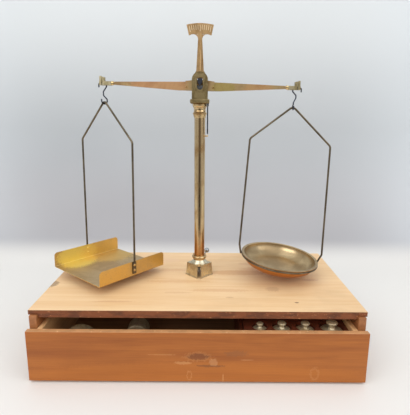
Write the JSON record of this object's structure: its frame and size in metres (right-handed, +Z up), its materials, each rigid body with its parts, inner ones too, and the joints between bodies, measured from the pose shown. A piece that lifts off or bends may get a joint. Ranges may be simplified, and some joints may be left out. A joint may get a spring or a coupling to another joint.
{
  "type": "balance scale",
  "caption": "Equal-arm column balance on a wooden drawer case, with a pointer and arched scale, a square pan and a round dish hung in wire bows, and knob weights in the drawer.",
  "frame": {"origin": "middle of the case's underside, on the table", "axes": "+X to the right as the user faces the drawer, +Y to the back, +Z up"},
  "size_m": [0.4275, 0.2318, 0.4513],
  "materials": {
    "board_wood": "satin",
    "case_wood": "satin",
    "front_wood": "satin",
    "drawer_wood": "matt",
    "block_wood": "satin",
    "weight_brass": "polished",
    "column_brass": "polished",
    "old_brass": "tarnished",
    "scale_brass": "satin",
    "beam_brass": "satin",
    "steel": "polished",
    "blued_steel": "blued",
    "bow_wire": "dull",
    "pan_brass": "satin",
    "dish_brass": "satin"
  },
  "bodies": {
    "case": {"top_board": "board_wood", "left_side": "case_wood", "right_side": "case_wood", "back_panel": "case_wood", "bottom_board": "board_wood", "foot_block": "old_brass", "foot_collar": "column_brass", "foot_screws": "steel", "column_tube": "column_brass", "capital": "column_brass", "head_plate": "old_brass", "index_peg": "column_brass", "plumb_lug": "steel", "lever_pin": "steel", "head_fork": "old_brass", "front_bearing": "steel", "rear_bearing": "steel", "scale_plate": "scale_brass", "scale_screws": "steel"},
    "drawer": {"drawer_front": "front_wood", "drawer_left_side": "drawer_wood", "drawer_right_side": "drawer_wood", "drawer_back": "drawer_wood", "drawer_bottom": "drawer_wood", "drawer_divider": "drawer_wood", "weight_block": "block_wood", "weight_500g": "weight_brass", "weight_200g": "weight_brass", "weights_100g": "weight_brass", "weight_50g": "weight_brass", "weight_20g": "weight_brass", "weights_10g": "weight_brass", "weight_5g": "weight_brass", "weights_2g": "weight_brass", "weight_1g": "weight_brass"},
    "arrest": {"arrest_lever": "steel", "lever_ball": "steel"},
    "lifter": {"lift_rod": "steel", "lift_saddle": "steel"},
    "plumb": {"plumb_rod": "blued_steel"},
    "beam_group": {"beam": "beam_brass", "boss_screws": "scale_brass", "centre_knife": "blued_steel", "pointer": "scale_brass", "beam_collars": "scale_brass", "left_end": "beam_brass", "right_end": "beam_brass", "left_knife": "blued_steel", "right_knife": "blued_steel"},
    "left_hanger": {"left_hook": "blued_steel"},
    "right_hanger": {"right_hook": "blued_steel"},
    "left_pan": {"left_bow": "bow_wire", "square_pan": "pan_brass", "pan_rivets": "pan_brass"},
    "right_pan": {"right_bow": "bow_wire", "dish_ring": "bow_wire"},
    "dish": {"round_dish": "dish_brass"}
  },
  "joints": [
    {"name": "drawer_slide", "type": "slide", "parent": "case", "child": "drawer", "axis": [0, -1, 0], "range_m": [-0.0021, 0.13]},
    {"name": "lever_press", "type": "hinge", "parent": "case", "child": "arrest", "pos_m": [0, 0.017, 0.1], "axis": [-1, 0, 0], "range_deg": [0, 17]},
    {"name": "rod_lift", "type": "slide", "parent": "case", "child": "lifter", "axis": [0, 0, 1], "range_m": [0, 0.00196]},
    {"name": "plumb_swing", "type": "hinge", "parent": "case", "child": "plumb", "pos_m": [0.0109, 0.0041, 0.3423], "axis": [0, 1, 0], "range_deg": [-4, 4]},
    {"name": "beam_tilt", "type": "hinge", "parent": "case", "child": "beam_group", "pos_m": [0, 0.01, 0.368], "axis": [0, 1, 0], "range_deg": [-3, 0.95]},
    {"name": "left_hook_swing", "type": "hinge", "parent": "beam_group", "child": "left_hanger", "pos_m": [-0.13498, 0.01, 0.37043], "axis": [0, -1, 0], "range_deg": [-3, 3]},
    {"name": "right_hook_swing", "type": "hinge", "parent": "beam_group", "child": "right_hanger", "pos_m": [0.13498, 0.01, 0.36557], "axis": [0, 1, 0], "range_deg": [-3, 3]},
    {"name": "left_bow_swivel", "type": "hinge", "parent": "left_hanger", "child": "left_pan", "pos_m": [-0.13364, 0.01067, 0.34593], "axis": [0, 0, 1], "range_deg": [-16, 16]},
    {"name": "right_bow_swivel", "type": "hinge", "parent": "right_hanger", "child": "right_pan", "pos_m": [0.13088, 0.01, 0.33967], "axis": [0, 0, 1], "range_deg": [-18, 18]},
    {"name": "dish_lift", "type": "slide", "parent": "right_pan", "child": "dish", "axis": [0.0872, 0, 0.9962], "range_m": [0, 0.03]}
  ],
  "couplings": [
    {"joint": "lever_press", "follows": "rod_lift", "rad_per_m": 151.51}
  ]
}
